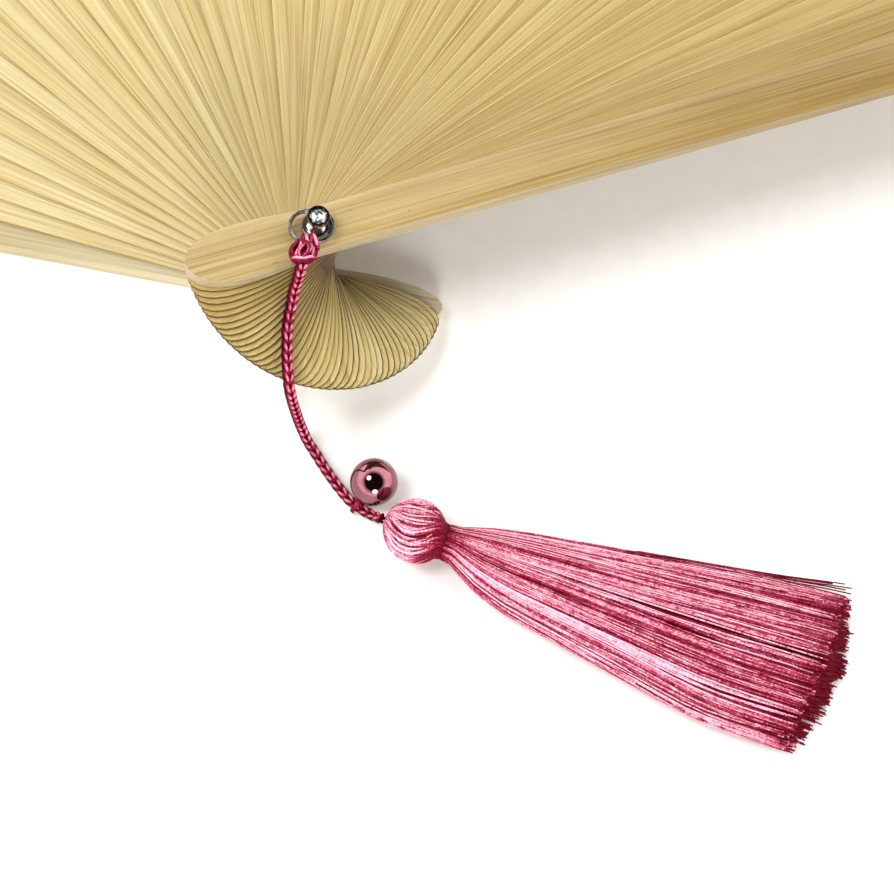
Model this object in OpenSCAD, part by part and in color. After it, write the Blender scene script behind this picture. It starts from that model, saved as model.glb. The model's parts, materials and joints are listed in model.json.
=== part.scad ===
// Bamboo folding hand fan, open, with a crystal rivet, a split ring, a braided cord, a bead and a tassel.
// Millimetres. The pivot's axis is Z, z = 0 is the table, and the open fan points along +Y.
// The front guard is the top layer, the rear guard is the bottom layer, and each slat has a flat layer
// of its own between them. The front guard, its rivet and its crystal stay still. The rest turns.

/* [Fan] */
// Number of slats between the two guards
slat_count = 43; // [20:1:43]
// Reach of slats and guards beyond the pivot
fan_reach = 189; // [120:1:220]
// Angle between the guards when the fan is open
open_angle = 150.6; // [90:0.2:160]
// Angle from the front guard to the first slat
front_gap_angle = 4; // [3:0.1:6]
// Angle from the last slat to the rear guard
rear_gap_angle = 5.6; // [3:0.1:6]
// How much wider than even the last steps between slats are, as a share of one step
slat_spread = 0.07; // [0:0.01:0.1]

/* [Slats] */
// Thickness of one slat
slat_t = 0.38; // [0.3:0.01:0.4]
// Free height between neighbouring layers
layer_gap = 0.12; // [0.1:0.01:0.2]
// Half width of a slat where it is narrowest, at the pivot
slat_neck = 3.2; // [2.4:0.1:3.4]
// Half width that a slat gains evenly along its reach
slat_rise = 2.7; // [2:0.1:3.2]
// Half width of a slat at its tip
slat_tip = 6.6; // [6.2:0.1:6.8]
// Half width that a slat's tail gains before it narrows to its point
slat_swell = 2; // [1:0.1:3]

/* [Guards] */
// Thickness of a guard
guard_t = 3.4; // [2.5:0.1:4]
// Half width of the front guard at the pivot
guard_neck = 3.5; // [3:0.1:3.6]
// Half width that the front guard gains evenly along its reach
guard_rise = 0.6; // [0.4:0.1:2]
// Half width of the front guard at its tip
guard_tip = 7.5; // [6:0.1:8]
// Half width that the front guard's tail gains before it narrows to its point
guard_swell = 2.7; // [2:0.1:3]
// Half width of the rear guard at the pivot
rear_neck = 3.2; // [3.1:0.1:3.5]
// Half width that the rear guard gains evenly along its reach
rear_rise = 1.2; // [0.4:0.1:2]
// Half width of the rear guard at its tip
rear_tip = 9.5; // [7:0.5:10]
// Half width that the rear guard's tail gains before it narrows to its point
rear_swell = 1.2; // [1:0.1:3]
// Distance from the pivot to the rear guard's middle line
rear_offset = 0.8; // [0:0.1:0.8]
// Radius of the front guard's crowned face
crown_r = 14; // [12:1:30]
// Length of the tails behind the pivot
tail_len = 21; // [18:0.5:24]

/* [Rivet] */
// Radius of the rivet's pin
pin_r = 1.15; // [1:0.05:1.2]
// Radial running clearance of the sticks on the pin
pin_clear = 0.05; // [0.02:0.01:0.1]
// Radius of the rivet's foot
foot_r = 1.8; // [1.5:0.1:1.9]
// Thickness of the rivet's foot
foot_t = 0.8; // [0.6:0.1:1]
// Radius of the front washer
washer_r = 2.5; // [2.2:0.1:2.7]
// Thickness of the front washer
washer_t = 0.5; // [0.4:0.1:0.6]
// Height of the crystal's setting above the washer
setting_h = 3.8; // [3.6:0.1:4.2]
// Radius of the crystal's setting
setting_r = 1.65; // [1.5:0.05:1.8]
// Radius of the crystal
crystal_r = 1.35; // [1.2:0.05:1.4]

/* [Ring, cord and bead] */
// Radius of the split ring's wire
wire_r = 0.27; // [0.2:0.01:0.28]
// Radius of the split ring's two ends, to the wire's centre
ring_r = 2.55; // [2.4:0.05:3]
// Length of the ring's straight sides
ring_straight = 1.6; // [1:0.1:2]
// Diameter of the braided cord
cord_d = 1.7; // [1.5:0.1:1.8]
// Radius of the bead
bead_r = 3.75; // [3.5:0.05:3.8]

/* [Tassel] */
// Radius of the tassel's head
head_r = 5.1; // [4.8:0.1:5.2]
// Length of the skirt of threads
skirt_len = 59.5; // [40:0.5:70]
// Width of the skirt at its cut end
skirt_end_w = 27; // [20:1:32]
// Thickness of the skirt at its cut end
skirt_end_t = 5.5; // [4:0.5:7]

/* [Hidden] */
function slat_name(i) = str("slat_", i < 10 ? "0" : "", i);

$fn = 48;
cut = 1;                                    // how far a cutting solid runs past what it cuts
bore_r = pin_r + pin_clear;
layer = slat_t + layer_gap;
front_z = guard_t + slat_count * layer + layer_gap;   // underside of the front guard
top_z = front_z + guard_t;                  // highest line of the front guard
front_angle = 90 - open_angle / 2;
rear_angle = 90 + open_angle / 2;
neck_half_len = 2;                          // the waist at the pivot is straight this far each way
tip_arc = 4;                                // length of the rounded tip
tail_power = 2.5;                           // how late a tail narrows to its point
foot_recess = 0.05;                         // clearance round and above the rivet's foot
setting_z = top_z + washer_t;
cup_h = 1.2;                                // height of the straight rim of the crystal's cup
cup_depth = 0.75;
ring_pos = [-0.9, -0.5, top_z + 1.1];       // middle of the split ring's lower turn
turn_rise = 2 * wire_r + 0.02;
loop_r = 0.95;
loop_wire_r = 0.38;
knot_pos = [-2.6, -4.9, top_z + 1.87];
knot_radii = [2.3, 1.95, 1.75];
bead_pos = [7.7, -33, bead_r];
bead_loop_pos = [5, -35.85, 0.95];
bead_loop_angle = 46.6;                     // direction from the cord to the bead
bead_loop_r = 1.3;
bead_loop_wire_r = 0.25;
head_pos = [13.5, -41.7, head_r];
tassel_angle = -22;                         // direction of the skirt
binding_start = 4.4;                        // distance of the binding from the head's middle
binding_len = 1.8;
binding_r = 2.9;
binding_z = 4.2;
skirt_start = binding_start + binding_len;
skirt_flare = [6.8, 12.3, -0.85, 7];        // oval after the neck: distance from it, width, shift, thickness
skirt_belly = [44, 25.6, -1.8, 6];          // oval where the skirt hangs fullest, in the same order
skirt_end_shift = -1.1;

// The cord's route from the knot, down over the tails, to the tassel's head
cord_route = [
    [-2.7, -6.3, 29.9], [-3.1, -7.1, 28.2], [-3.4, -7.5, 25.7], [-3.9, -8.25, 23.5], [-4.2, -9.4, 22.1],
    [-4.75, -11.35, 21.1], [-5.15, -13.45, 20.35], [-5.3, -15.5, 19.55], [-5.4, -17.65, 18.8],
    [-5.35, -19.8, 17.9], [-5.2, -21.65, 16.5], [-4.7, -22.5, 13.2], [-4.05, -22.9, 9.2],
    [-3.4, -23.3, 5.6], [-2.7, -24, 2.9], [-2, -25.1, 1.4], [-1.2, -26.4, 0.95], [0.4, -29.4, 0.9],
    [2.1, -32.3, 0.9], [3.7, -34.6, 0.9], [5, -35.85, 0.95], [6.5, -37.1, 1.1], [7.9, -38.2, 2],
    [8.5, -38.8, 3.1]];
ring_spacing = 2;                           // tube rings for each gap between two route points

// Angle from the front guard to slat i, with the steps growing evenly towards the rear guard
function slat_turn(i) =
    let (t = (i - 1) / (slat_count - 1))
    front_gap_angle + (open_angle - front_gap_angle - rear_gap_angle) * (t + slat_spread * t * (t - 1));

// Half width at x: it grows evenly by rise, and by the rest of the way to tip mostly in the outer half
function stick_half(x, neck, rise, tip) =
    let (s = x / fan_reach) neck + rise * s + (tip - neck - rise) * s * s * s;

// Upper half of a stick's outline, from its tip to the point of its leaf-shaped tail
function stick_side(neck, rise, tip, swell) = concat(
    [for (a = [0:18:90]) [fan_reach - tip_arc + tip_arc * cos(a), tip * sin(a)]],
    [for (s = [0.8:-0.15:0.15]) [s * fan_reach, stick_half(s * fan_reach, neck, rise, tip)]],
    [[neck_half_len, neck]],
    [for (a = [0:10:90])
        let (t = sin(a))
        [-neck_half_len - t * (tail_len - neck_half_len),
            (neck + swell * t) * sqrt(1 - pow(t, tail_power))]]);

// A whole outline: the side and its mirror image, without repeating the points on the centre line
function stick_outline(side) = concat(side,
    [for (i = [len(side) - 2:-1:1]) [side[i][0], -side[i][1]]]);

module stick(neck, rise, tip, swell, thick) {
    linear_extrude(thick) polygon(stick_outline(stick_side(neck, rise, tip, swell)));
}

module bore(thick) {
    translate([0, 0, -cut]) cylinder(r = bore_r, h = thick + 2 * cut);
}

module slat(i) {
    color("burlywood")
        translate([0, 0, guard_t + layer_gap + (slat_count - i) * layer])
        rotate(front_angle + slat_turn(i))
        difference() {
            stick(slat_neck, slat_rise, slat_tip, slat_swell, slat_t);
            bore(slat_t);
        }
}

module front_guard() {
    color("tan")
        translate([0, 0, front_z])
        rotate(front_angle)
        difference() {
            intersection() {
                stick(guard_neck, guard_rise, guard_tip, guard_swell, guard_t);
                translate([-tail_len - cut, 0, guard_t - crown_r])
                    rotate([0, 90, 0])
                    cylinder(r = crown_r, h = tail_len + fan_reach + 2 * cut, $fn = 96);
            }
            bore(guard_t);
        }
}

module rear_guard() {
    color("wheat")
        rotate(rear_angle)
        difference() {
            translate([0, -rear_offset, 0]) stick(rear_neck, rear_rise, rear_tip, rear_swell, guard_t);
            bore(guard_t);
            translate([0, 0, -cut])
                cylinder(r = foot_r + foot_recess, h = cut + foot_t + foot_recess);
        }
}

module pivot_pin() {
    color("slategray")
        translate([0, 0, foot_t])
        cylinder(r = pin_r, h = setting_z - foot_t);
}

module rivet_foot() {
    color("slategray") cylinder(r = foot_r, h = foot_t);
}

module front_washer() {
    color("silver")
        translate([0, 0, top_z])
        rotate_extrude() {
            translate([bore_r, 0]) square([washer_r - bore_r - washer_t / 2, washer_t]);
            translate([washer_r - washer_t / 2, washer_t / 2]) circle(washer_t / 2);
        }
}

module crystal_setting() {
    foot_w = 1.7;
    foot_h = 0.4;
    waist_r = 1;
    color("silver")
        translate([0, 0, setting_z])
        difference() {
            rotate_extrude()
                polygon([[0, 0], [foot_w, 0], [foot_w, foot_h], [waist_r, foot_h + 0.5],
                    [waist_r, setting_h - cup_h - 0.7], [setting_r, setting_h - cup_h],
                    [setting_r, setting_h], [0, setting_h]]);
            translate([0, 0, setting_h - cup_depth]) cylinder(r = crystal_r + 0.03, h = cup_depth + cut);
        }
}

module crystal() {
    girdle_h = 0.35;
    crown_h = 0.45;
    table_r = 0.75;
    color("aliceblue")
        translate([0, 0, setting_z + setting_h - cup_depth]) {
            cylinder(r = crystal_r, h = girdle_h + 0.01, $fn = 12);
            translate([0, 0, girdle_h]) cylinder(r1 = crystal_r, r2 = table_r, h = crown_h, $fn = 12);
        }
}

// One turn of the ring: two half circles of wire and two straight sides
module ring_turn() {
    for (side = [-1, 1]) {
        translate([side * ring_straight / 2, 0, 0])
            rotate(side * 90 - 180)
            rotate_extrude(angle = 180)
            translate([ring_r, 0])
            circle(wire_r);
        translate([-ring_straight / 2, side * ring_r, 0])
            rotate([0, 90, 0])
            cylinder(r = wire_r, h = ring_straight);
    }
}

module split_ring() {
    color("dimgray")
        for (turn = [0, 1])
            translate(ring_pos + [0, 0, turn * turn_rise]) ring_turn();
}

module cord_loop() {
    color("palevioletred")
        for (x = [-1.95, -1.1])
            translate([x, ring_pos[1] - ring_r, ring_pos[2] + turn_rise / 2])
            rotate([0, 90, 0])
            rotate_extrude()
            translate([loop_r, 0])
            circle(loop_wire_r);
}

module cord_knot() {
    color("palevioletred")
        translate(knot_pos)
        scale(knot_radii)
        sphere(1, $fn = 32);
}

// Smooth point of the route: Catmull-Rom through route points i and i + 1
function route_at(p, i, t) =
    let (n = len(p) - 1, a = p[max(i - 1, 0)], b = p[i], c = p[min(i + 1, n)], d = p[min(i + 2, n)])
    0.5 * (2 * b + (c - a) * t + (2 * a - 5 * b + 4 * c - d) * t * t + (3 * b - a - 3 * c + d) * t * t * t);

function unit(v) = v / norm(v);

module cord() {
    line = concat(
        [for (i = [0:len(cord_route) - 2], k = [0:ring_spacing - 1]) route_at(cord_route, i, k / ring_spacing)],
        [cord_route[len(cord_route) - 1]]);
    last = len(line) - 1;
    side = 8;
    rings = [for (i = [0:last])
        let (ahead = unit(line[min(i + 1, last)] - line[max(i - 1, 0)]),
            across = unit(cross(ahead, [0.8, 0.6, 0])),
            up = cross(across, ahead))
        for (k = [0:side - 1]) line[i] + cord_d / 2 * (cos(k * 360 / side) * across + sin(k * 360 / side) * up)];
    walls = [for (i = [0:last - 1], k = [0:side - 1])
        let (a = i * side + k, b = i * side + (k + 1) % side)
        for (f = [[a, a + side, b], [b, a + side, b + side]]) f];
    color("palevioletred")
        polyhedron(rings, concat([[for (k = [0:side - 1]) k]], walls,
            [[for (k = [side - 1:-1:0]) last * side + k]]));
}

module bead() {
    color("rosybrown") translate(bead_pos) sphere(bead_r);
}

// Wire from the bead that arches over the cord
module bead_loop() {
    color("palevioletred")
        translate(bead_loop_pos)
        rotate([90, 0, bead_loop_angle])
        rotate_extrude(angle = 150)
        translate([bead_loop_r, 0])
        circle(bead_loop_wire_r);
}

// Places a solid of the tassel that is drawn along +X from the head's middle
module on_tassel() {
    translate([head_pos[0], head_pos[1], 0]) rotate(tassel_angle) children();
}

module tassel_head() {
    color("palevioletred")
        on_tassel()
        translate([0, 0, head_r])
        rotate([0, 90, 0])
        rotate_extrude()
        intersection() {
            circle(head_r);
            translate([0, -head_r]) square([head_r, head_r + binding_start]);
        }
}

module tassel_binding() {
    color("mediumvioletred")
        on_tassel()
        translate([binding_start, 0, binding_z])
        rotate([0, 90, 0])
        cylinder(r = binding_r, h = binding_len);
}

// A thin upright oval across the skirt, shifted to one side, between the heights low and high
module skirt_section(x, width, shift, low, high) {
    translate([x, shift, (low + high) / 2])
        rotate([0, 90, 0])
        linear_extrude(0.1)
        scale([(high - low) / 2, width / 2])
        circle(1, $fn = 32);
}

module tassel_skirt() {
    color("palevioletred")
        on_tassel()
        hull() {
            skirt_section(skirt_start, 2 * binding_r, 0, binding_z - binding_r, binding_z + binding_r);
            for (oval = [skirt_flare, skirt_belly])
                skirt_section(skirt_start + min(oval[0], 0.8 * skirt_len), oval[1], oval[2], 0, oval[3]);
            skirt_section(skirt_start + skirt_len - 0.1, skirt_end_w, skirt_end_shift, 0, skirt_end_t);
        }
}

front_guard();
rear_guard();
pivot_pin();
rivet_foot();
front_washer();
crystal_setting();
crystal();
split_ring();
cord_loop();
cord_knot();
cord();
bead();
bead_loop();
tassel_head();
tassel_binding();
tassel_skirt();
for (i = [1:slat_count]) slat(i);
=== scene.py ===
"""Looks of the bamboo folding fan with its crystal rivet, ring, braided cord, bead and tassel."""

import json
import math
import random

import bmesh
import bpy
from mathutils import Matrix, Vector


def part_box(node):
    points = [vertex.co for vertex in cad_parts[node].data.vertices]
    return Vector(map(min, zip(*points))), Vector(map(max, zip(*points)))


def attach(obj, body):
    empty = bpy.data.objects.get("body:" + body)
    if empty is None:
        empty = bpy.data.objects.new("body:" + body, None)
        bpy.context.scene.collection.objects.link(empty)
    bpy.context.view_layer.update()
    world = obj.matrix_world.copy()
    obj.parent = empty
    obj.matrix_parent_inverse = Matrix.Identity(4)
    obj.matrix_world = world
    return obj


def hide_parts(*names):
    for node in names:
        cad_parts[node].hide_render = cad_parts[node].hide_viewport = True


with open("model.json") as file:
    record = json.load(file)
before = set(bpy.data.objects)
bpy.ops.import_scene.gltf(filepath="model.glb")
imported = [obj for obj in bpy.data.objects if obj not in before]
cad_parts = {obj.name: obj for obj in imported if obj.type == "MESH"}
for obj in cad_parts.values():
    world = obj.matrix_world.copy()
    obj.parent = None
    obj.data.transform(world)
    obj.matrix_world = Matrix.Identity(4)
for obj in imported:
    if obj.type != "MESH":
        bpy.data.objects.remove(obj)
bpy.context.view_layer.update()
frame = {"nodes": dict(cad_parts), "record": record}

MM = 0.001
JOINTS = {j["name"]: j for j in frame["record"]["behaviour"]["joints"]}
OPEN_ANGLE = JOINTS["fan_fold"]["range_deg"][1]
FRONT_ANGLE = 90 - OPEN_ANGLE / 2
SLATS = sorted(n for n in frame["nodes"] if n.startswith("slat_"))


# ---------------------------------------------------------------- camera

CAMERA_TARGET = Vector((18.7, -30.7, 12)) * MM
CAMERA_AZIMUTH = math.radians(-15.1)
CAMERA_ELEVATION = math.radians(70)
CAMERA_ROLL = math.radians(11.6)
CAMERA_DISTANCE = 0.6
CAMERA_LENS = 157


def make_camera():
    """The photograph's view: from the front and well above, with the frame a little rolled."""
    data = bpy.data.cameras.new("camera")
    data.lens = CAMERA_LENS
    data.clip_start = 0.01
    camera = bpy.data.objects.new("camera", data)
    bpy.context.scene.collection.objects.link(camera)
    flat = math.cos(CAMERA_ELEVATION)
    back = Vector((
        math.sin(CAMERA_AZIMUTH) * flat,
        -math.cos(CAMERA_AZIMUTH) * flat,
        math.sin(CAMERA_ELEVATION),
    ))
    level = Vector((math.cos(CAMERA_AZIMUTH), math.sin(CAMERA_AZIMUTH), 0))
    turn = Matrix.Rotation(CAMERA_ROLL, 3, back)
    right = turn @ level
    up = back.cross(right)
    spin = Matrix((right, up, back)).transposed().to_4x4()
    camera.matrix_world = Matrix.Translation(CAMERA_TARGET + back * CAMERA_DISTANCE) @ spin
    bpy.context.scene.camera = camera


make_camera()


# ---------------------------------------------------------------- mesh tools

TUBE_UP = Vector((0.31, 0.22, 0.92))


def add_object(name, verts, faces, smooth=True):
    """A mesh object from points and faces."""
    mesh = bpy.data.meshes.new(name)
    mesh.from_pydata([tuple(v) for v in verts], [], faces)
    mesh.update()
    if smooth:
        mesh.shade_smooth()
    piece = bpy.data.objects.new(name, mesh)
    bpy.context.scene.collection.objects.link(piece)
    return piece


def set_attribute(piece, name, values, kind="FLOAT"):
    """Stores one value or one vector for each point of the mesh."""
    layer = piece.data.attributes.new(name, kind, "POINT")
    key = "value" if kind == "FLOAT" else "vector"
    flat = values if kind == "FLOAT" else [x for v in values for x in v]
    layer.data.foreach_set(key, flat)


def smooth_route(points, steps):
    """Catmull-Rom line through the points, with the same rule as the cord's solid."""
    line = []
    last = len(points) - 1
    for i in range(last):
        a = points[max(i - 1, 0)]
        b = points[i]
        c = points[i + 1]
        d = points[min(i + 2, last)]
        for k in range(steps):
            t = k / steps
            line.append(0.5 * (
                2 * b + (c - a) * t + (2 * a - 5 * b + 4 * c - d) * t * t
                + (3 * b - a - 3 * c + d) * t * t * t
            ))
    line.append(points[last])
    return line


def carried_frames(line, first_up):
    """A tangent, a side and an up for each point, carried along the line without twist."""
    frames = []
    up = first_up
    for i, here in enumerate(line):
        ahead = line[min(i + 1, len(line) - 1)] - line[max(i - 1, 0)]
        ahead.normalize()
        up = (up - ahead * up.dot(ahead)).normalized()
        frames.append((here, ahead, ahead.cross(up), up))
    return frames


def ring_faces(start, rings, sides, closed=False):
    """Faces over rings of points that run counter-clockwise as seen from before the first ring."""
    faces = []
    for i in range(rings if closed else rings - 1):
        a = start + i * sides
        b = start + (i + 1) % rings * sides
        for k in range(sides):
            n = (k + 1) % sides
            faces.append((a + k, b + k, b + n, a + n))
    if not closed:
        faces.append(tuple(start + k for k in range(sides)))
        faces.append(tuple(start + (rings - 1) * sides + k for k in reversed(range(sides))))
    return faces


def add_tube(verts, faces, line, radius, sides, closed=False):
    """Adds a round tube to the lists, and returns how many points it added."""
    start = len(verts)
    for here, _, side, up in carried_frames(line, TUBE_UP):
        for k in range(sides):
            angle = 2 * math.pi * k / sides
            verts.append(here + side * (radius * math.cos(angle)) + up * (radius * math.sin(angle)))
    faces += ring_faces(start, len(line), sides, closed)
    return len(verts) - start


def line_lengths(line):
    """The length along the line up to each of its points."""
    total = 0
    lengths = [0]
    for a, b in zip(line, line[1:]):
        total += (b - a).length
        lengths.append(total)
    return lengths


# ---------------------------------------------------------------- materials

class Shader:
    """A material's node tree, built one node at a time."""

    def __init__(self, name):
        self.material = bpy.data.materials.new(name)
        self.material.use_nodes = True
        self.tree = self.material.node_tree
        self.tree.nodes.clear()
        self.surface = self.tree.nodes.new("ShaderNodeBsdfPrincipled")
        output = self.tree.nodes.new("ShaderNodeOutputMaterial")
        self.tree.links.new(self.surface.outputs[0], output.inputs["Surface"])

    def put(self, socket, value):
        """Links an output to the socket, or sets the socket's value."""
        if isinstance(value, bpy.types.NodeSocket):
            self.tree.links.new(value, socket)
        else:
            socket.default_value = value

    def node(self, kind, settings=None, out=0, **inputs):
        """Adds a node and gives one of its outputs. Inputs go by name, or by number as i0, i1 and so on."""
        made = self.tree.nodes.new(kind)
        for key, value in (settings or {}).items():
            setattr(made, key, value)
        for key, value in inputs.items():
            socket = int(key[1:]) if key[1:].isdigit() else key
            self.put(made.inputs[socket], value)
        return made.outputs[out]

    def attribute(self, name, out="Fac"):
        return self.node("ShaderNodeAttribute", {"attribute_name": name}, out=out)

    def maths(self, operation, a, b=0.0):
        return self.node("ShaderNodeMath", {"operation": operation}, i0=a, i1=b)

    def scaled(self, vector, scale):
        return self.node("ShaderNodeVectorMath", {"operation": "MULTIPLY"}, i0=vector, i1=scale)

    def noise(self, vector, scale=1.0, detail=3.0, roughness=0.5, distortion=0.0):
        return self.node(
            "ShaderNodeTexNoise", Vector=vector, Scale=scale, Detail=detail,
            Roughness=roughness, Distortion=distortion,
        )

    def ramp(self, value, *stops):
        """A colour ramp. Each stop is a position with a colour or a grey."""
        made = self.tree.nodes.new("ShaderNodeValToRGB")
        steps = made.color_ramp.elements
        while len(steps) < len(stops):
            steps.new(0.5)
        for step, (position, colour) in zip(steps, stops):
            step.position = position
            step.color = (*colour, 1) if isinstance(colour, tuple) else (colour, colour, colour, 1)
        self.tree.links.new(value, made.inputs[0])
        return made.outputs[0]

    def mix(self, factor, a, b, blend="MIX"):
        made = self.tree.nodes.new("ShaderNodeMix")
        made.data_type = "RGBA"
        made.blend_type = blend
        for socket, value in ((made.inputs[0], factor), (made.inputs[6], a), (made.inputs[7], b)):
            if isinstance(value, tuple):
                value = (*value, 1)
            self.put(socket, value)
        return made.outputs[2]

    def bump(self, height, strength, distance, normal=None):
        made = self.tree.nodes.new("ShaderNodeBump")
        self.put(made.inputs["Height"], height)
        made.inputs["Strength"].default_value = strength
        made.inputs["Distance"].default_value = distance
        if normal is not None:
            self.tree.links.new(normal, made.inputs["Normal"])
        return made.outputs[0]

    def finish(self, **inputs):
        """Sets the surface's inputs and gives the material."""
        for key, value in inputs.items():
            name = key.replace("_", " ")
            if isinstance(value, tuple):
                value = (*value, 1)
            self.put(self.surface.inputs[name], value)
        return self.material


def bamboo(name, pale, middle, dark, line_colour, streak, tints, roughness, contrast):
    """Split bamboo: its shader, colour, height and roughness. Grain is in millimetres along and across."""
    s = Shader(name)
    grain = s.attribute("grain", "Vector")
    tint = s.attribute("tint")
    broad = s.noise(s.scaled(grain, (0.012, 0.8 * streak, 0.5)), 1.0, 2.0, 0.5)
    fine = s.noise(s.scaled(grain, (0.02, 3.0 * streak, 2.0)), 1.0, 4.0, 0.65, 0.1)
    hair = s.noise(s.scaled(grain, (0.03, 6.5 * streak, 5.0)), 1.0, 3.0, 0.6)
    cloud = s.noise(s.scaled(grain, (0.05, 0.25, 0.2)), 1.0, 3.0, 0.5)
    body = s.ramp(fine, (0.34, dark), (0.47, middle), (0.60, pale))
    wide = s.ramp(broad, (0.38, middle), (0.58, pale))
    body = s.mix(0.38, body, wide)
    lines = s.ramp(hair, (0.33, 1.0), (0.43, 0.0))
    body = s.mix(s.maths("MULTIPLY", lines, 0.55 * contrast), body, line_colour)
    deep = s.ramp(fine, (0.30, 1.0), (0.38, 0.0))
    body = s.mix(s.maths("MULTIPLY", deep, 0.8 * contrast), body, line_colour)
    shine = s.ramp(hair, (0.58, 0.0), (0.68, 1.0))
    bright = s.mix(1.0, body, (0.22, 0.21, 0.15), "ADD")
    body = s.mix(s.maths("MULTIPLY", shine, 0.45), body, bright)
    shade = s.ramp(tint, *tints)
    body = s.mix(1.0, body, shade, "MULTIPLY")
    soft = s.ramp(cloud, (0.3, (0.90, 0.86, 0.80)), (0.7, (1.0, 1.0, 1.0)))
    body = s.mix(0.8, body, soft, "MULTIPLY")
    height = s.maths("ADD", s.maths("MULTIPLY", fine, 0.6), s.maths("MULTIPLY", hair, 0.4))
    rough = s.node("ShaderNodeMapRange", Value=fine, i3=roughness - 0.08, i4=roughness + 0.12)
    return s, body, height, rough


def slat_material():
    """The planed face of a slat, with painted warm light added on the tail, where the guard shades it. The
    slats grow paler towards the rear guard, which is painted light.
    """
    # The tint is each slat's own tone together with painted light: slats with a higher tint, towards the
    # rear guard, come out paler.
    tints = (
        (0.1, (0.64, 0.56, 0.38)), (0.35, (0.72, 0.68, 0.52)),
        (0.6, (0.84, 0.83, 0.73)), (0.85, (0.94, 0.96, 1.0)),
    )
    s, body, height, rough = bamboo(
        "slat_bamboo", (0.62, 0.535, 0.31), (0.52, 0.43, 0.205), (0.38, 0.25, 0.065),
        (0.32, 0.16, 0.03), 1.0, tints, 0.42, 1.0,
    )
    # Painted light: a warm colour is added on the tail, standing for bounced light in the guard's shade.
    blade = s.ramp(s.attribute("reach"), (0.0, 0.0), (0.08, 1.0))
    body = s.mix(blade, s.mix(1.0, body, (0.09, 0.065, 0.012), "ADD"), body)
    return s.finish(
        Base_Color=body, Roughness=rough, Specular_IOR_Level=0.35, Normal=s.bump(height, 0.35, 0.00012),
    )


def slat_edge_material():
    """The split side of a slat, browner than its planed face. On the tail it is painted nearly black, as
    painted shadow in the gaps between the tails.
    """
    s = Shader("slat_edge")
    grain = s.attribute("grain", "Vector")
    fibre = s.noise(s.scaled(grain, (0.12, 6.0, 8.0)), 1.0, 3.0, 0.6)
    blade = s.ramp(fibre, (0.3, (0.40, 0.26, 0.08)), (0.7, (0.58, 0.44, 0.19)))
    # Painted shadow: the tail's sides and broken edges are near black, standing for the shadow in the gaps
    # between the tails.
    tail_painted_shadow = s.ramp(fibre, (0.3, (0.02, 0.009, 0.002)), (0.7, (0.09, 0.042, 0.009)))
    place = s.ramp(s.attribute("reach"), (0.0, 0.0), (0.06, 0.7), (0.25, 1.0))
    colour = s.mix(place, tail_painted_shadow, blade)
    return s.finish(Base_Color=colour, Roughness=0.6, Normal=s.bump(fibre, 0.4, 0.0001))


def guard_material(name, pale, middle, dark, contrast):
    """A guard's bamboo, darker and yellower away from the rivet, with a few dark nicks."""
    s, body, height, rough = bamboo(
        name, pale, middle, dark, (0.27, 0.16, 0.05), 0.75,
        ((0.0, (0.95, 0.94, 0.92)), (1.0, (1.0, 1.0, 1.0))), 0.42, contrast,
    )
    grain = s.attribute("grain", "Vector")
    far = s.ramp(s.attribute("reach"), (0.05, (1.0, 1.0, 1.0)), (0.45, (0.70, 0.63, 0.46)))
    body = s.mix(1.0, body, far, "MULTIPLY")
    specks = s.noise(s.scaled(grain, (1.3, 2.9, 2.0)), 1.0, 2.0, 0.6)
    nicks = s.ramp(specks, (0.72, 0.0), (0.75, 1.0))
    body = s.mix(s.maths("MULTIPLY", nicks, 0.8 * contrast), body, (0.10, 0.06, 0.04))
    return s.finish(
        Base_Color=body, Roughness=rough, Specular_IOR_Level=0.35, Normal=s.bump(height, 0.4, 0.0002),
    )


def metal_material(name, bright, dull, roughness, scratches=0.3, rim_height=None):
    """Polished metal, a little uneven. Above rim_height it is nearly black."""
    s = Shader(name)
    place = s.node("ShaderNodeTexCoord", out="Object")
    smear = s.noise(place, 900.0, 3.0, 0.6)
    scratch = s.noise(s.scaled(place, (4000.0, 900.0, 2200.0)), 1.0, 2.0, 0.7)
    colour = s.ramp(smear, (0.3, dull), (0.65, bright))
    if rim_height:
        height = s.node("ShaderNodeSeparateXYZ", out="Z", Vector=place)
        colour = s.mix(s.maths("GREATER_THAN", height, rim_height), colour, (0.05, 0.045, 0.045))
    rough = s.node("ShaderNodeMapRange", Value=smear, i3=roughness * 0.6, i4=roughness * 1.8)
    return s.finish(
        Base_Color=colour, Metallic=1.0, Roughness=rough,
        Normal=s.bump(scratch, scratches, 0.00002),
    )


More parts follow.
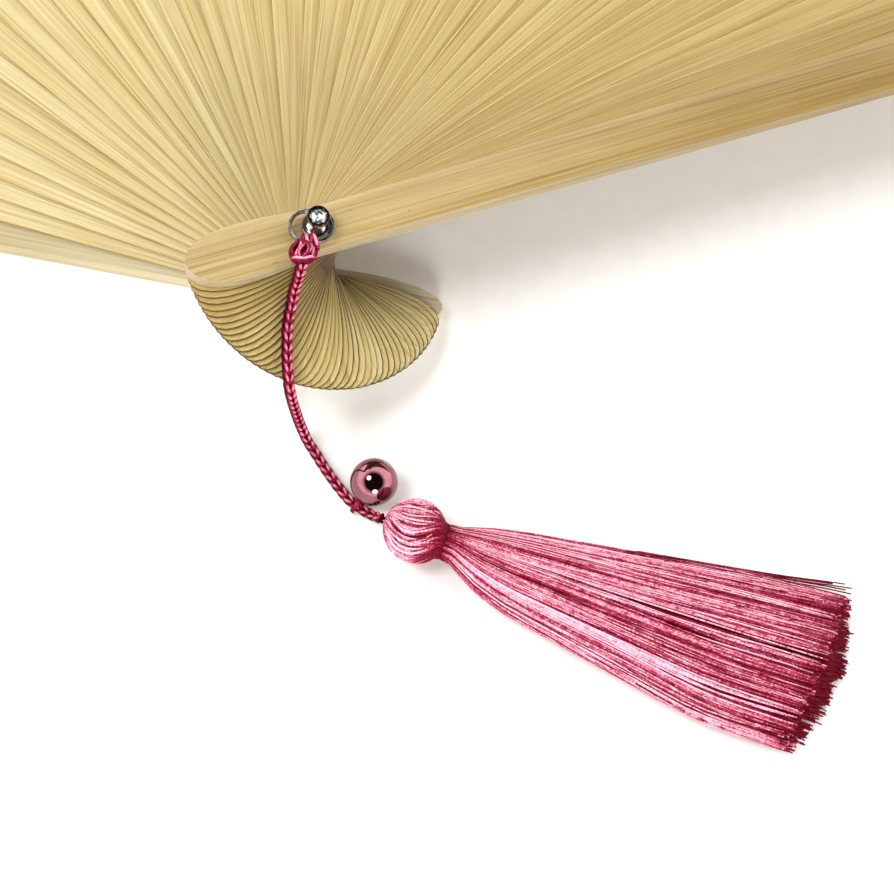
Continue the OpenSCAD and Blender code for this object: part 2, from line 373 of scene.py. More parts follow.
def silk_material(name, deep, middle, bright, twist, painted_glint):
    """Twisted silk with painted glints along each thread. Along is the millimetres along the thread, and
    tint is the thread's shade, which on several pieces also carries painted highlight and shade.
    """
    s = Shader(name)
    along = s.attribute("along")
    tint = s.attribute("tint")
    turn = s.maths("SINE", s.maths("MULTIPLY", along, 2 * math.pi / twist))
    stretch = s.maths("MULTIPLY", along, 0.7 / twist)
    thread = s.node("ShaderNodeCombineXYZ", X=stretch, Y=s.maths("MULTIPLY", tint, 37.0))
    painted_glint_noise = s.noise(thread, 1.0, 2.0, 0.6)
    place = s.node("ShaderNodeTexCoord", out="Object")
    fuzz = s.noise(place, 2600.0, 3.0, 0.6)
    patch = s.noise(place, 400.0, 2.0, 0.5)
    # Painted glints: the twist and a noise along each thread put bright and dark dashes into the colour.
    level = s.maths("ADD", tint, s.maths("MULTIPLY", turn, 0.3 * painted_glint))
    level = s.maths("ADD", level, s.maths("MULTIPLY", s.maths("SUBTRACT", painted_glint_noise, 0.5), 6.0 * painted_glint))
    level = s.maths("ADD", level, s.maths("MULTIPLY", s.maths("SUBTRACT", fuzz, 0.5), 0.5))
    level = s.maths("ADD", level, s.maths("MULTIPLY", s.maths("SUBTRACT", patch, 0.5), 0.4))
    colour = s.ramp(level, (0.08, deep), (0.5, middle), (0.95, bright))
    height = s.maths("ADD", turn, s.maths("MULTIPLY", fuzz, 0.5))
    return s.finish(
        Base_Color=colour, Roughness=0.42, Specular_IOR_Level=0.06,
        Normal=s.bump(height, 0.4, 0.00006),
    )


def crystal_material():
    """Foil-backed glass. Small cells of differing slope stand for the facets seen through the table."""
    s = Shader("crystal_glass")
    place = s.node("ShaderNodeTexCoord", out="Object")
    cells = s.node("ShaderNodeTexVoronoi", {"feature": "F1"}, out=1, Vector=place, Scale=1700.0)
    slope = s.node("ShaderNodeVectorMath", {"operation": "SUBTRACT"}, i0=cells, i1=(0.5, 0.5, 0.5))
    slope = s.scaled(slope, (0.95, 0.95, 0.2))
    flat = s.node("ShaderNodeNewGeometry", out="Normal")
    tilted = s.node("ShaderNodeVectorMath", {"operation": "ADD"}, i0=flat, i1=slope)
    # Painted reflections: the cells are painted in greys from dark to light, standing for facets that catch
    # differing light.
    colour = s.ramp(cells, (0.25, (0.20, 0.20, 0.21)), (0.75, (0.50, 0.51, 0.53)))
    return s.finish(
        Base_Color=colour, Metallic=0.85, Roughness=0.05, Coat_Weight=0.6, Coat_Roughness=0.02,
        Normal=s.node("ShaderNodeVectorMath", {"operation": "NORMALIZE"}, i0=tilted),
    )


def ribbon_material():
    """Cream ribbon with a fine weave across it."""
    s = Shader("tie_ribbon")
    grain = s.attribute("grain", "Vector")
    weave = s.node(
        "ShaderNodeTexWave", {"bands_direction": "Y"}, Vector=grain, Scale=2.2, Distortion=0.3,
    )
    colour = s.ramp(weave, (0.2, (0.70, 0.55, 0.30)), (0.8, (0.86, 0.74, 0.48)))
    return s.finish(
        Base_Color=colour, Roughness=0.45, Sheen_Weight=0.3, Normal=s.bump(weave, 0.3, 0.00005),
    )


def floor_material():
    """Plain pale paper, slightly uneven."""
    s = Shader("paper_floor")
    place = s.node("ShaderNodeTexCoord", out="Object")
    grain = s.noise(place, 300.0, 2.0, 0.5)
    colour = s.ramp(grain, (0.3, (0.90, 0.895, 0.89)), (0.7, (0.93, 0.925, 0.92)))
    return s.finish(Base_Color=colour, Roughness=0.75, Specular_IOR_Level=0.2)


SLAT_BAMBOO = slat_material()
SLAT_EDGE = slat_edge_material()
TAN_BAMBOO = guard_material(
    "tan_bamboo", (0.42, 0.33, 0.16), (0.35, 0.255, 0.10), (0.21, 0.145, 0.045), 1.0)
CREAM_BAMBOO = guard_material(
    "cream_bamboo", (0.53, 0.485, 0.345), (0.48, 0.43, 0.285), (0.37, 0.31, 0.18), 0.3)
SIDE_BAMBOO = guard_material(
    "side_bamboo", (0.37, 0.305, 0.19), (0.29, 0.235, 0.135), (0.18, 0.14, 0.075), 0.6)
NICKEL = ((0.80, 0.78, 0.76), (0.52, 0.50, 0.48))
CUP_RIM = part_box("crystal_setting")[1].z - 0.12 * MM
BRIGHT_METAL = metal_material("bright_nickel", *NICKEL, 0.12)
CUP_METAL = metal_material("cup_nickel", *NICKEL, 0.12, rim_height=CUP_RIM)
DARK_METAL = metal_material("dark_nickel", (0.24, 0.21, 0.18), (0.08, 0.07, 0.06), 0.14)
ROSE_METAL = metal_material("rose_mirror", (0.27, 0.11, 0.135), (0.19, 0.07, 0.09), 0.05, 0.03)
CORD_SILK = silk_material(
    "cord_silk", (0.06, 0.0, 0.007), (0.26, 0.008, 0.042), (0.88, 0.36, 0.47), 0.45, 0.09)
TASSEL_SILK = silk_material(
    "tassel_silk", (0.12, 0.0, 0.009), (0.41, 0.042, 0.10), (0.92, 0.49, 0.60), 0.65, 0.2)
BINDING_SILK = silk_material(
    "binding_silk", (0.08, 0.0, 0.008), (0.36, 0.006, 0.045), (0.72, 0.16, 0.26), 0.6, 0.1)
RIBBON = ribbon_material()
CRYSTAL = crystal_material()


def dress(piece, material):
    """Gives the piece its one material."""
    piece.data.materials.clear()
    piece.data.materials.append(material)


# ---------------------------------------------------------------- cord

CORD_D = 1.7 * MM
CORD_ROUTE = [
    (-2.7, -6.3, 29.9), (-3.1, -7.1, 28.2), (-3.4, -7.5, 25.7), (-3.9, -8.25, 23.5), (-4.2, -9.4, 22.1),
    (-4.75, -11.35, 21.1), (-5.15, -13.45, 20.35), (-5.3, -15.5, 19.55), (-5.4, -17.65, 18.8),
    (-5.35, -19.8, 17.9), (-5.2, -21.65, 16.5), (-4.7, -22.5, 13.2), (-4.05, -22.9, 9.2),
    (-3.4, -23.3, 5.6), (-2.7, -24, 2.9), (-2, -25.1, 1.4), (-1.2, -26.4, 0.95), (0.4, -29.4, 0.9),
    (2.1, -32.3, 0.9), (3.7, -34.6, 0.9), (5, -35.85, 0.95), (6.5, -37.1, 1.1), (7.9, -38.2, 2),
    (8.5, -38.8, 3.1),
]
STRANDS = 6
STRAND_R = 0.27 * MM
BRAID_PERIOD = 9.3 * MM
BRAID_FLATNESS = 0.85
CORD_CORE_R = 0.36 * MM


def make_cord():
    """A flat plait of six strands round a core, whose upper face shows a row of V shapes."""
    line = smooth_route([Vector(p) * MM for p in CORD_ROUTE], 22)
    lengths = line_lengths(line)
    frames = carried_frames(line, Vector((0.3, -0.4, 0.87)))
    swing = CORD_D / 2 - STRAND_R
    verts = []
    faces = []
    along = []
    tint = []
    sides = 10
    for strand in range(STRANDS):
        path = []
        for (here, _, side, up), length in zip(frames, lengths):
            t = 2 * math.pi * (length / BRAID_PERIOD + strand / STRANDS)
            over = BRAID_FLATNESS * swing * math.sin(2 * t)
            path.append(here + side * (swing * math.sin(t)) - up * over)
        start = len(verts)
        added = add_tube(verts, faces, path, STRAND_R, sides)
        for k in range(added):
            here, _, _, up = frames[k // sides]
            # Painted highlight and shade: each strand is painted lighter on its upper side and darker on
            # its sides and underside.
            height = max(0.0, (verts[start + k] - here).dot(up) / (BRAID_FLATNESS * CORD_D / 2))
            along.append(lengths[k // sides] / MM)
            tint.append(0.75 * height ** 1.8 - 0.06)
    # The core is painted darkest, as painted shade between the strands.
    added = add_tube(verts, faces, line, CORD_CORE_R, sides)
    along += [lengths[k // sides] / MM for k in range(added)]
    tint += [-0.1] * added
    piece = add_object("braided_cord", verts, faces)
    set_attribute(piece, "along", along)
    set_attribute(piece, "tint", tint)
    dress(piece, CORD_SILK)
    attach(piece, "ring_and_cord")
    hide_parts("cord")
    return piece, line, lengths[-1]


cord, cord_line, cord_length = make_cord()


# ---------------------------------------------------------------- slats and guards

REACH = 150 * MM


def bamboo_stick(node, angle, materials, bevel, edge_index, tint, seed):
    """A copy of a stick's solid with its grain laid along it, its own side material and broken edges.

    The two materials are for the flat faces and the sides. A bevel takes the one at edge_index, or its
    neighbour's with -1.
    """
    mesh = frame["nodes"][node].data.copy()
    mesh.name = node + "_bamboo"
    work = bmesh.new()
    work.from_mesh(mesh)
    bmesh.ops.remove_doubles(work, verts=work.verts, dist=1e-6)
    bmesh.ops.dissolve_limit(work, angle_limit=math.radians(1), verts=work.verts, edges=work.edges)
    work.to_mesh(mesh)
    work.free()
    piece = bpy.data.objects.new(node + "_bamboo", mesh)
    bpy.context.scene.collection.objects.link(piece)
    c, s = math.cos(math.radians(angle)), math.sin(math.radians(angle))
    rand = random.Random(seed)
    shift = Vector((rand.uniform(0, 400), rand.uniform(0, 400), rand.uniform(0, 400)))
    grain = []
    for v in mesh.vertices:
        x, y, z = v.co / MM
        grain.append(Vector((x * c + y * s, -x * s + y * c, z)) + shift)
    set_attribute(piece, "grain", grain, "FLOAT_VECTOR")
    set_attribute(piece, "tint", [tint] * len(mesh.vertices))
    set_attribute(piece, "reach", [(v.co.x * c + v.co.y * s) / REACH for v in mesh.vertices])
    dress(piece, materials[0])
    mesh.materials.append(materials[1])
    for face in mesh.polygons:
        face.material_index = 1 if abs(face.normal.z) < 0.5 else 0
    round_edges = piece.modifiers.new("broken edges", "BEVEL")
    round_edges.width = bevel
    round_edges.segments = 3
    round_edges.limit_method = "ANGLE"
    round_edges.angle_limit = math.radians(50)
    round_edges.harden_normals = True
    round_edges.material = edge_index
    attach(piece, node)
    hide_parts(node)


def slat_angle(node):
    """Where the slat points when the fan is open, in degrees from +X."""
    return FRONT_ANGLE + JOINTS[node + "_turn"]["range_deg"][1]


def make_slats():
    """The thin slats, each with its own grain and tone. Their tint also rises towards the rear guard, which
    paints those slats paler as painted light from that side.
    """
    rand = random.Random(12)
    for i, node in enumerate(SLATS):
        # Painted light: the tint rises towards the rear guard, painting those slats paler as if lit more
        # from that side. The random part is each slat's own tone.
        tint = 0.02 + 0.75 * i / len(SLATS) + 0.2 * rand.random()
        bamboo_stick(
            node, slat_angle(node), (SLAT_BAMBOO, SLAT_EDGE),
            bevel=0.16 * MM, edge_index=1, tint=tint, seed=100 + i,
        )


def make_guards():
    """The tan front guard and the cream rear guard."""
    bamboo_stick(
        "front_guard", FRONT_ANGLE, (TAN_BAMBOO, SIDE_BAMBOO),
        bevel=0.45 * MM, edge_index=-1, tint=0.6, seed=7,
    )
    bamboo_stick(
        "rear_guard", FRONT_ANGLE + OPEN_ANGLE, (CREAM_BAMBOO, CREAM_BAMBOO),
        bevel=1.0 * MM, edge_index=-1, tint=0.6, seed=8,
    )


make_slats()
make_guards()


# ---------------------------------------------------------------- rivet, crystal and ring

def make_metalwork():
    """The metal parts keep their solids' own shapes."""
    for node, material in (
        ("pivot_pin", BRIGHT_METAL), ("rivet_foot", BRIGHT_METAL), ("front_washer", DARK_METAL),
        ("crystal_setting", CUP_METAL), ("split_ring", DARK_METAL),
    ):
        piece = frame["nodes"][node]
        dress(piece, material)
        piece.data.shade_smooth()


def make_crystal():
    """A round brilliant: table, crown facets, girdle and pavilion."""
    low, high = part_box("crystal")
    centre = (low + high) / 2
    radius = (high[0] - low[0]) / 2
    girdle = high[2] - 0.42 * MM
    verts = []
    faces = []
    rings = (
        (0.55, high[2], 0.0), (0.80, high[2] - 0.17 * MM, 0.5), (1.0, girdle, 0.0),
        (1.0, girdle - 0.06 * MM, 0.0), (0.5, low[2] + 0.1 * MM, 0.5),
    )
    count = 8
    for scale, z, turn in rings:
        for k in range(count):
            angle = 2 * math.pi * (k + turn) / count
            x = centre.x + radius * scale * math.cos(angle)
            y = centre.y + radius * scale * math.sin(angle)
            verts.append(Vector((x, y, z)))
    faces.append(tuple(range(count)))
    for ring in range(len(rings) - 1):
        a = ring * count
        b = a + count
        for k in range(count):
            n = (k + 1) % count
            if rings[ring][2] == rings[ring + 1][2]:
                faces.append((a + k, b + k, b + n, a + n))
            elif rings[ring][2] == 0.0:
                faces.append((a + k, b + k, a + n))
                faces.append((b + k, b + n, a + n))
            else:
                faces.append((a + k, b + n, a + n))
                faces.append((a + k, b + k, b + n))
    faces.append(tuple(reversed(range((len(rings) - 1) * count, len(rings) * count))))
    piece = add_object("brilliant_crystal", verts, faces, smooth=False)
    dress(piece, CRYSTAL)
    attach(piece, "front_guard")
    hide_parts("crystal")


make_metalwork()
make_crystal()


# ---------------------------------------------------------------- knot and loops

def silk_piece(name, tubes, material, body, nodes, sides=12, seed=1):
    """One piece from several silk strands: (line, radius, closed, shade). Each strand is painted lighter on
    its upper side as painted highlight, and darker below as painted shade.
    """
    rand = random.Random(seed)
    verts = []
    faces = []
    along = []
    tint = []
    for line, radius, closed, shade in tubes:
        added = add_tube(verts, faces, line, radius, sides, closed)
        lengths = line_lengths(line)
        own = shade + rand.uniform(-0.12, 0.12)
        first = len(verts) - added
        along += [lengths[k // sides] / MM for k in range(added)]
        for k in range(added):
            # Painted highlight and shade, by how far up the strand's side each point lies.
            top = max(0.0, (verts[first + k] - line[k // sides]).z / radius)
            tint.append(own - 0.5 + 0.75 * top ** 2)
    piece = add_object(name, verts, faces)
    set_attribute(piece, "along", along)
    set_attribute(piece, "tint", tint)
    dress(piece, material)
    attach(piece, body)
    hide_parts(*nodes)
    return piece


def middle(node):
    low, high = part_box(node)
    return (low + high) / 2


def half_size(node):
    low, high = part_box(node)
    return (high - low) / 2


def make_knot():
    """A round knot: strands drawn from the ring over a ball, and a collar where the cord leaves it."""
    centre = middle("cord_knot")
    size = half_size("cord_knot")
    strand = 0.34 * MM
    reach = size - Vector((strand, strand, strand)) * 0.9

    def on_ball(polar, around, grow=1.0):
        return centre + Vector((
            grow * reach.x * math.sin(polar) * math.cos(around),
            -reach.y * math.cos(polar),
            grow * reach.z * math.sin(polar) * math.sin(around),
        ))

    tubes = []
    count = 15
    for part in range(count):
        line = []
        for k in range(25):
            polar = 2.95 - 2.7 * k / 24
            lean = 0.5 * math.cos(polar) + 0.16 * math.sin(3 * polar + 2.4 * part)
            line.append(on_ball(polar, 2 * math.pi * part / count + lean, 1 - 0.07 * (part % 3)))
        tubes.append((line, strand, False, 0.3 + 0.16 * (part % 3)))
    for polar, shade in ((0.72, 0.75), (0.42, 0.5)):
        line = []
        for k in range(48):
            around = 2 * math.pi * k / 48
            line.append(on_ball(polar + 0.1 * math.sin(3 * around), around, 1.22))
        tubes.append((line, 0.9 * strand, True, shade))
    # The core ball is painted very dark, as painted shade between the strands.
    core = [on_ball(2.6 - 2.3 * k / 12, 0.0, 0.0) for k in range(13)]
    tubes.append((core, 1.15 * MM, False, 0.1))
    return silk_piece(
        "button_knot", tubes, CORD_SILK, "ring_and_cord", ["cord_knot"], seed=5)


def make_ring_loops():
    """Turns of the cord round the ring's wire."""
    centre = middle("cord_loop")
    tubes = []
    for x, lean, shade in ((-0.95, 0.25, 0.45), (-0.32, -0.2, 0.7), (0.32, 0.2, 0.5), (0.95, -0.3, 0.72)):
        line = []
        for k in range(48):
            t = 2 * math.pi * k / 48
            out = Vector((x + lean * math.cos(t), 1.12 * math.cos(t), 0.98 * math.sin(t)))
            line.append(centre + out * MM)
        tubes.append((line, 0.36 * MM, True, shade))
    return silk_piece(
        "ring_loops", tubes, CORD_SILK, "ring_and_cord", ["cord_loop"], seed=8)


knot = make_knot()
ring_loops = make_ring_loops()


# ---------------------------------------------------------------- bead

def make_bead():
    """A turned bead: a sphere, drawn in a little round the flat ends where its thread hole is."""
    centre = middle("bead")
    radius = half_size("bead").x
    verts = []
    rings = 64
    sides = 96
    hole = 0.13
    for i in range(rings + 1):
        angle = hole + (math.pi - 2 * hole) * i / rings
        shrink = 1 - 0.03 * math.exp(-((min(angle, math.pi - angle) - hole) / 0.05) ** 2)
        for k in range(sides):
            turn = 2 * math.pi * k / sides
            verts.append(Vector((
                radius * shrink * math.sin(angle) * math.cos(turn),
                radius * shrink * math.sin(angle) * math.sin(turn),
                radius * shrink * math.cos(angle),
            )))
    to_cord = (middle("bead_loop") - centre).normalized()
    spin = to_cord.to_track_quat("Z", "Y").to_matrix()
    piece = add_object("rose_bead", [centre + spin @ v for v in verts], ring_faces(0, rings + 1, sides))
    dress(piece, ROSE_METAL)
    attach(piece, "bead")
    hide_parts("bead")
    return piece


def make_bead_loop():
    """The thread that holds the bead, arching over the cord."""
    joint = JOINTS["bead_swing"]
    pivot = Vector(joint["pos_m"])
    axis = Vector(joint["axis"])
    out = Vector((0, 0, 1)).cross(axis).normalized()
    reach = 1.22 * MM
    tubes = []
    for shift in (-0.22, 0.0, 0.22):
        line = []
        for k in range(25):
            t = math.radians(-6 + 160 * k / 24)
            arch = Vector((0, 0, reach * math.sin(t))) - out * (reach * math.cos(t))
            line.append(pivot + axis * (shift * MM) + arch)
        tubes.append((line, 0.16 * MM, False, 0.5))
    return silk_piece(
        "bead_thread", tubes, BINDING_SILK, "bead", ["bead_loop"], sides=8, seed=3)


bead = make_bead()
bead_thread = make_bead_loop()


# ---------------------------------------------------------------- tassel

HEAD = middle("tassel_head")
HEAD_R = half_size("tassel_head").z
BINDING = middle("tassel_binding")
TASSEL_DIRECTION = Vector((BINDING.x - HEAD.x, BINDING.y - HEAD.y, 0)).normalized()
TASSEL_SIDE = Vector((-TASSEL_DIRECTION.y, TASSEL_DIRECTION.x, 0))
TASSEL_BASE = Vector((HEAD.x, HEAD.y, 0))
BINDING_X = (4.4 * MM, 6.2 * MM)
BINDING_R = 2.9 * MM
BINDING_Z = 4.2 * MM
SKIRT_END = 65.7 * MM
SKIRT_SECTIONS = (
    (BINDING_X[1], BINDING_R, 0, BINDING_Z - BINDING_R, BINDING_Z + BINDING_R),
    (13 * MM, 6.15 * MM, -0.85 * MM, 0, 7 * MM),
    (50.2 * MM, 12.8 * MM, -1.8 * MM, 0, 6 * MM),
    (SKIRT_END, 13.5 * MM, -1.1 * MM, 0, 5.5 * MM),
)
THREAD_R = 0.125 * MM
LOCKS = 110
INNER_THREADS = 250
TIP_THREADS = 900
TIP_THREADS_START = 52 * MM
OUTER_THREADS = 1000
STRAY_THREADS = 6


def on_tassel(x, y, z):
    """A point of the tassel, given along its direction, across it and up."""
    return TASSEL_BASE + TASSEL_DIRECTION * x + TASSEL_SIDE * y + Vector((0, 0, z))


def skirt_section(x):
    """Half width, sideways shift, lowest and highest point of the skirt's solid at x."""
    if x <= SKIRT_SECTIONS[0][0]:
        return SKIRT_SECTIONS[0][1:]
    for a, b in zip(SKIRT_SECTIONS, SKIRT_SECTIONS[1:]):
        if x <= b[0]:
            t = (x - a[0]) / (b[0] - a[0])
            return tuple(a[k] + (b[k] - a[k]) * t for k in (1, 2, 3, 4))
    return SKIRT_SECTIONS[-1][1:]


def skirt_room(x):
    """The same as skirt_section, rounded off where one section passes into the next."""
    blend = max(0.0, min(1.0, (x - BINDING_X[1]) / (7 * MM)))
    near = [skirt_section(x + step * blend * MM) for step in (-4, -1.3, 1.3, 4)]
    return [sum(values) / len(near) for values in zip(*near)]


def skirt_locks(rand):
    """Groups of threads that hang together: each one's slant, shade and how far its ends lag, in mm."""
    return [(rand.gauss(0, 0.055), rand.gauss(0, 0.07), rand.gauss(0, 0.35)) for _ in range(LOCKS)]


def skirt_strand(rand, thread, steps, outer, locks, start=None):
    """One hanging thread and its shade. It keeps near the threads of its own lock.

    An outer thread lies on the skirt's surface, and any other one within it. The cut end that they make is
    slanted and rounded.
    """
    turn = rand.uniform(-0.15, 1.15) * math.pi if outer else rand.uniform(0, 2 * math.pi)
    place = int((turn / (2 * math.pi) + 0.1) * len(locks) + rand.uniform(-0.8, 0.8))
    slant, shade, lag = locks[place % len(locks)]
    depth = rand.uniform(0.9, 1.0) if outer else math.sqrt(rand.random()) * 0.95
    side = depth * math.cos(turn)
    lift = depth * math.sin(turn)
    slanted = 1.3 * side - 2.0 * (1 + lift)
    rounded = 2.4 * (1 - side * side)
    end = SKIRT_END + (1.7 + slanted + rounded + lag - 0.9 * rand.random() ** 2) * MM
    start = start or BINDING_X[1] - 1.2 * MM
    wave = rand.uniform(0.05, 0.4) * MM
    wave_count = rand.uniform(0.8, 2.2)
    wave_start = rand.uniform(0, 2 * math.pi)
    drift = slant + rand.gauss(0, 0.035)
    line = []
    for k in range(steps + 1):
        t = k / steps
        x = start + (end - start) * t ** 1.25
        half, shift, low, high = skirt_room(x)
        room = (high - low) / 2 - thread
        sway = wave * t * math.sin(wave_start + wave_count * 2 * math.pi * t)
        y = max(-1.0, min(1.0, side + drift * t)) * (half - thread) + sway
        y = max(-(half - thread), min(half - thread, y))
        limit = math.sqrt(max(0.0, 1 - (y / half) ** 2))
        z = (low + high) / 2 + max(-limit, min(limit, lift)) * room
        line.append(on_tassel(x, y + shift, max(z, thread)))
    return line, shade


def stray_strand(rand, thread, steps):
    """A loose thread along the skirt's upper edge, bending away from the rest."""
    line = []
    start = rand.uniform(20, 34) * MM
    end = SKIRT_END + rand.uniform(-3, 2) * MM
    bend = rand.uniform(0.8, 2.8) * MM
    for k in range(steps + 1):
        t = k / steps
        x = start + (end - start) * t
        half, shift, low, high = skirt_room(x)
        y = shift + half * (0.8 + 0.17 * min(1.0, 4 * t)) + bend * t * t
        z = (4.6 - 2.8 * t + 0.4 * math.sin(7 * t)) * MM
        line.append(on_tassel(x, y, max(z, thread)))
    return line


def threads_piece(name, lines, thread, sides, material, shades, painted_shade):
    """Many threads in one mesh. The last argument gives the painted shade: the darkening at a share of a
    thread's length.
    """
    verts = []
    faces = []
    along = []
    tint = []
    for line, shade in zip(lines, shades):
        added = add_tube(verts, faces, line, thread, sides)
        lengths = line_lengths(line)
        along += [lengths[k // sides] / MM + shade * 7 for k in range(added)]
        tint += [shade - painted_shade((k // sides) / (len(line) - 1)) for k in range(added)]
    piece = add_object(name, verts, faces)
    set_attribute(piece, "along", along)
    set_attribute(piece, "tint", tint)
    dress(piece, material)
    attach(piece, "tassel")
    return piece


def skirt_painted_shade(t):
    """Painted shade on the skirt's threads: darker near the neck and towards the cut end."""
    neck = max(0.0, 1 - t / 0.12)
    half = max(0.0, (t - 0.5) / 0.5)
    tip = max(0.0, (t - 0.95) / 0.05)
    return 0.5 * neck + 0.16 * half + 0.2 * tip


def make_skirt():
    """The hanging threads: inner ones, short ones at the cut end, outer ones and a few loose ones."""
    rand = random.Random(41)
    thread = THREAD_R
    locks = skirt_locks(rand)
    inner = [skirt_strand(rand, thread, 18, False, locks) for _ in range(INNER_THREADS)]
    inner += [
        skirt_strand(rand, thread * 1.2, 5, False, locks, TIP_THREADS_START) for _ in range(TIP_THREADS)
    ]
    outer = [skirt_strand(rand, thread, 18, True, locks) for _ in range(OUTER_THREADS)]
    stray = [stray_strand(rand, thread * 0.8, 16) for _ in range(STRAY_THREADS)]
    lines = [line for line, _ in inner + outer] + stray
    # Painted shade: the inner threads, and the short ones at the cut end, are much darker than the outer
    # ones, as shade inside the bundle.
    shades = [min(0.5, max(-0.1, rand.gauss(0.1, 0.14))) for _ in inner]
    shades += [min(1.1, max(0.0, rand.gauss(0.58, 0.33) + shade)) for _, shade in outer]
    shades += [0.2 for _ in stray]
    return threads_piece("tassel_threads", lines, thread, 5, TASSEL_SILK, shades, skirt_painted_shade)


def make_skirt_core():
    """The inner bundle, painted dark as painted shade, that shows between the threads and at the cut end.
    """
    verts = []
    sides = 40
    rings = 24
    rand = random.Random(9)
    ripple = [rand.uniform(-0.05, 0.05) for _ in range(sides)]
    for i in range(rings + 1):
        x = BINDING_X[1] - 1 * MM + (SKIRT_END - 7 * MM - BINDING_X[1]) * i / rings
        half, shift, low, high = skirt_room(x)
        for k in range(sides):
            turn = -2 * math.pi * k / sides
            scale = 0.84 + ripple[k]
            verts.append(on_tassel(
                x, shift + half * scale * math.cos(turn),
                (low + high) / 2 + (high - low) / 2 * scale * math.sin(turn),
            ))
    piece = add_object("tassel_core", verts, ring_faces(0, rings + 1, sides))
    set_attribute(piece, "along", [0.0] * len(verts))
    # Painted shade: the bundle is painted near black.
    set_attribute(piece, "tint", [0.05] * len(verts))
    dress(piece, BINDING_SILK)
    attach(piece, "tassel")
    return piece


def head_painted_shade(t):
    """Painted shade on the head's threads: darker where they leave the cord and where they go into the
    binding, so the ball looks lit in its middle.
    """
    return 0.45 * max(0.0, 1 - t / 0.3) + max(0.0, (t - 0.6) / 0.4)


def make_head():
    """A ball of threads drawn from the cord's end over to the binding."""
    rand = random.Random(17)
    thread = 0.15 * MM
    lines = []
    count = 250
    first_polar = 0.16
    last_polar = 2.52
    for j in range(count):
        around = 2 * math.pi * j / count + rand.uniform(-0.03, 0.03)
        swirl = rand.gauss(0.75, 0.4)
        puff = (rand.uniform(-0.45, 0.1) - 0.25 * (1 + math.sin(5 * around))) * MM
        wave = rand.uniform(0, 2 * math.pi)
        line = []
        for k in range(27):
            t = k / 26
            polar = first_polar + (last_polar - first_polar) * t
            ripple = 0.6 + 0.4 * math.sin(wave + 5 * t)
            r = HEAD_R - thread * 1.2 + puff * math.sin(math.pi * t) * ripple
            ring = r * math.sin(polar)
            x = -r * math.cos(polar)
            z = HEAD_R + (BINDING_Z - HEAD_R) * max(0.0, t - 0.55) / 0.45
            turn = around + swirl * math.sin(math.pi * t)
            up = z + ring * math.sin(turn)
            line.append(on_tassel(x, ring * math.cos(turn), max(up, thread)))
        ring *= 0.93
        line.append(on_tassel(x + 0.9 * MM, ring * math.cos(turn), BINDING_Z + ring * math.sin(turn)))
        lines.append(line)
    shades = [min(1.15, max(0.1, rand.gauss(0.68, 0.3))) for _ in lines]
    return threads_piece("head_threads", lines, thread, 6, TASSEL_SILK, shades, head_painted_shade)


def make_head_core():
    """The ball inside the head's threads, painted darker than them as painted shade in the gaps."""
    verts = []
    rings = 16
    sides = 32
    r = HEAD_R * 0.82
    for i in range(rings + 1):
        polar = 0.05 + (2.5 - 0.05) * i / rings
        for k in range(sides):
            turn = -2 * math.pi * k / sides
            verts.append(on_tassel(
                -r * math.cos(polar), r * math.sin(polar) * math.cos(turn),
                HEAD_R + r * math.sin(polar) * math.sin(turn),
            ))
    core = add_object("head_core", verts, ring_faces(0, rings + 1, sides))
    set_attribute(core, "along", [0.0] * len(verts))
    # Painted shade: the ball is painted darker than the threads over it.
    set_attribute(core, "tint", [0.2] * len(verts))
    dress(core, TASSEL_SILK)
    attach(core, "tassel")
    return core


def make_binding():
    """Thread wound round the neck of the tassel."""
    thread = 0.26 * MM
    turns = 7
    steps = 40
    line = []
    for k in range(turns * steps + 1):
        t = k / (turns * steps)
        turn = 2 * math.pi * turns * t
        r = BINDING_R - 0.2 * MM - thread + 0.1 * MM * math.sin(3 * t * math.pi)
        x = BINDING_X[0] - 0.1 * MM + (BINDING_X[1] - BINDING_X[0]) * t
        line.append(on_tassel(x, r * math.cos(turn), BINDING_Z + r * math.sin(turn)))
    core = []
    for k in range(9):
        core.append(on_tassel(BINDING_X[0] - 1 * MM + 3.6 * MM * k / 8, 0, BINDING_Z))
    return silk_piece(
        "neck_binding", [(line, thread, False, 0.5), (core, BINDING_R - 1.6 * thread, False, 0.2)],
        BINDING_SILK, "tassel", ["tassel_binding"], seed=2,
    )


skirt = make_skirt()
skirt_core = make_skirt_core()
head = make_head()
head_core = make_head_core()
binding = make_binding()
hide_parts("tassel_skirt")
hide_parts("tassel_head")


# ---------------------------------------------------------------- ribbon

RIBBON_X = (171 * MM, 175 * MM)
RIBBON_WIDTH = 11.2 * MM
RIBBON_GAP = 0.005 * MM
RIBBON_TOP = 0.06 * MM


def make_ribbons():
    """A narrow ribbon that joins the slats near their tips, one stretch on each slat."""
    x_first, x_last = RIBBON_X
    for node in SLATS:
        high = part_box(node)[1].z
        angle = math.radians(slat_angle(node))
        along = Vector((math.cos(angle), math.sin(angle), 0))
        across = Vector((-along.y, along.x, 0))
        verts = []
        grain_at = []
        cells = 8
        for i in range(cells + 1):
            y = -RIBBON_WIDTH / 2 + RIBBON_WIDTH * i / cells
            top = RIBBON_TOP + 0.012 * MM * math.sin(i * 1.7)
            for x, z in ((x_first, RIBBON_GAP), (x_last, RIBBON_GAP), (x_last, top), (x_first, top)):
                verts.append(along * x + across * y + Vector((0, 0, high + z)))
                grain_at.append((x / MM, y / MM, z / MM))
        piece = add_object(node + "_ribbon", verts, ring_faces(0, cells + 1, 4))
        set_attribute(piece, "grain", grain_at, "FLOAT_VECTOR")
        dress(piece, RIBBON)
        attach(piece, node)


make_ribbons()


# ---------------------------------------------------------------- floor and light

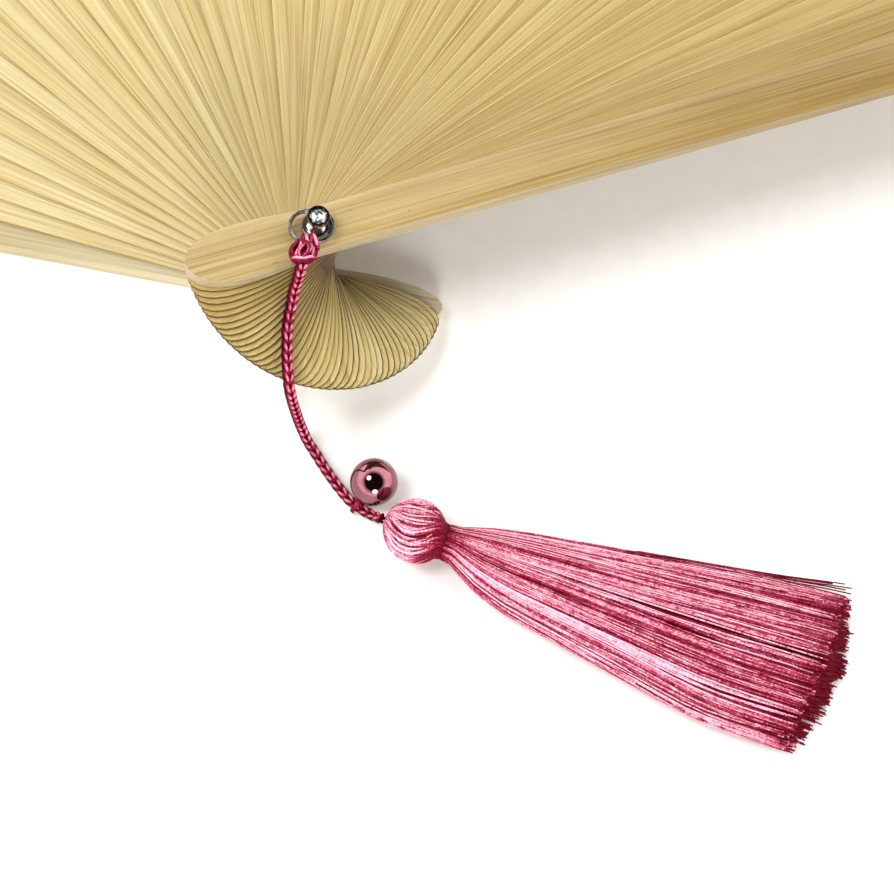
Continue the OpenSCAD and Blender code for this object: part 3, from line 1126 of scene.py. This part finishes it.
FLOOR_HALF = 3
OVERHEAD = (-0.09, -0.33, 0.94)
WALL_LIGHT = (1.0, 0.985, 0.965, 1)
OVERHEAD_LIGHT = (0.01, 0.009, 0.01, 1)
ROOM_STRENGTH = 3.05


def make_floor():
    far = FLOOR_HALF
    corners = [(-far, -far, 0), (far, -far, 0), (far, far, 0), (-far, far, 0)]
    piece = add_object("floor", corners, [(0, 1, 2, 3)], smooth=False)
    piece.data.materials.append(floor_material())


def make_light(name, place, aim, size, watts, colour):
    """A round area light."""
    data = bpy.data.lights.new(name, "AREA")
    data.shape = "DISK"
    data.size = size
    data.energy = watts
    data.color = colour
    lamp = bpy.data.objects.new(name, data)
    bpy.context.scene.collection.objects.link(lamp)
    lamp.location = place
    lamp.rotation_euler = (Vector(aim) - Vector(place)).to_track_quat("-Z", "Y").to_euler()


def make_world():
    """A white room, dark overhead, which gives the metal and the crystal their contrast."""
    world = bpy.data.worlds.new("studio")
    bpy.context.scene.world = world
    world.use_nodes = True
    tree = world.node_tree
    place = tree.nodes.new("ShaderNodeTexCoord")
    facing = tree.nodes.new("ShaderNodeVectorMath")
    facing.operation = "DOT_PRODUCT"
    tree.links.new(place.outputs["Generated"], facing.inputs[0])
    facing.inputs[1].default_value = OVERHEAD
    shade = tree.nodes.new("ShaderNodeValToRGB")
    tree.links.new(facing.outputs["Value"], shade.inputs[0])
    stops = ((0.48, WALL_LIGHT), (0.74, OVERHEAD_LIGHT))
    for step, (position, colour) in zip(shade.color_ramp.elements, stops):
        step.position = position
        step.color = colour
    background = tree.nodes["Background"]
    tree.links.new(shade.outputs[0], background.inputs["Color"])
    background.inputs["Strength"].default_value = ROOM_STRENGTH


make_floor()
make_world()
make_light(
    "soft_key", place=(-0.6, 0.05, 1.22), aim=(0, 0, 0), size=0.5, watts=9, colour=(1.0, 0.99, 0.97))
make_light(
    "front_fill", place=(0.0, -1.0, 0.42), aim=(0.02, -0.03, 0), size=0.38, watts=8,
    colour=(1.0, 0.97, 0.94))
bpy.context.scene.view_settings.view_transform = "Standard"
